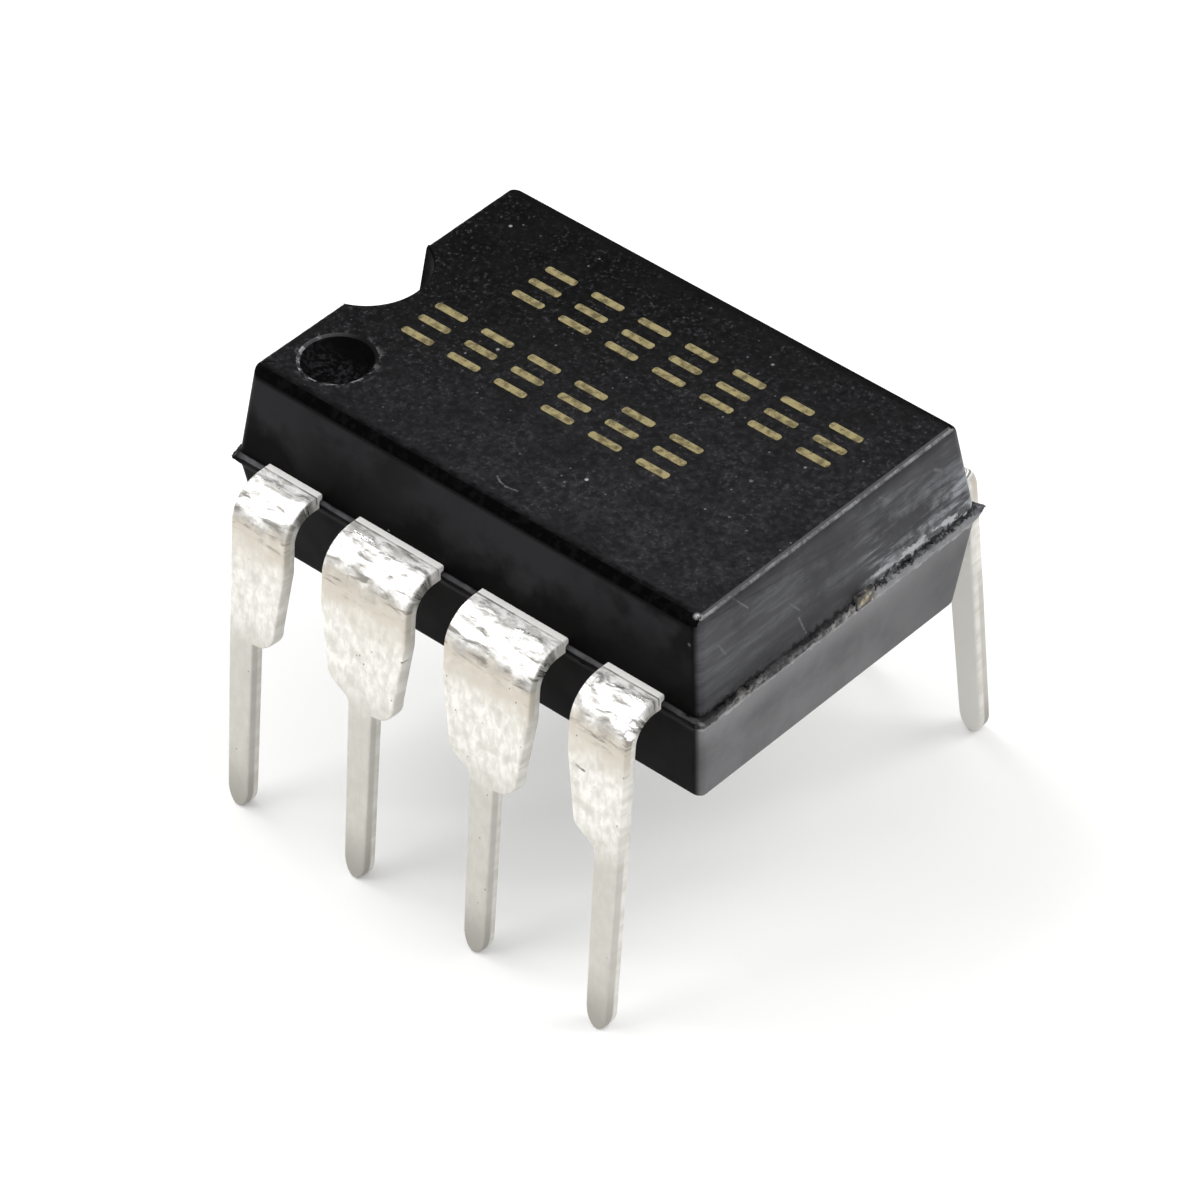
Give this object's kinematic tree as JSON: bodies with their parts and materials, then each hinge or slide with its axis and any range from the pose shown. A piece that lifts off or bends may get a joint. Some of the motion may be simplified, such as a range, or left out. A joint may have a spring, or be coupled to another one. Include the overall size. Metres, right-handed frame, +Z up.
{
  "type": "dual in-line integrated circuit package",
  "caption": "Black moulded chip package with drafted sides, an end notch and a corner dimple, and bent tinned leads that drop down both long sides to fit a board or socket.",
  "frame": {"origin": "under the middle of the body, on the plane that the lead tips stand on", "axes": "+X along the body away from the notched end, +Y across it away from the front row of leads (1 to 4), +Z up out of the board"},
  "size_m": [0.0096, 0.0092, 0.0076],
  "materials": {
    "moulding_compound": "fine spark-eroded matte on the top, smoother on the sides",
    "tinned_lead": "matte tin plate, burnished bright over the bends",
    "bare_frame_alloy": "bare stamped copper alloy",
    "die_solder": "dull solder film",
    "silicon": "polished silicon",
    "gold_wire": "bright drawn gold"
  },
  "bodies": {
    "root": {"moulded_body": "moulding_compound", "lead_1": "tinned_lead", "lead_2": "tinned_lead", "lead_3": "tinned_lead", "lead_4": "tinned_lead", "lead_5": "tinned_lead", "lead_6": "tinned_lead", "lead_7": "tinned_lead", "lead_8": "tinned_lead", "die_paddle": "bare_frame_alloy", "die_attach": "die_solder", "silicon_die": "silicon", "bond_wire_1": "gold_wire", "bond_wire_2": "gold_wire", "bond_wire_3": "gold_wire", "bond_wire_4": "gold_wire", "bond_wire_5": "gold_wire", "bond_wire_6": "gold_wire", "bond_wire_7": "gold_wire", "bond_wire_8": "gold_wire"}
  },
  "joints": []
}
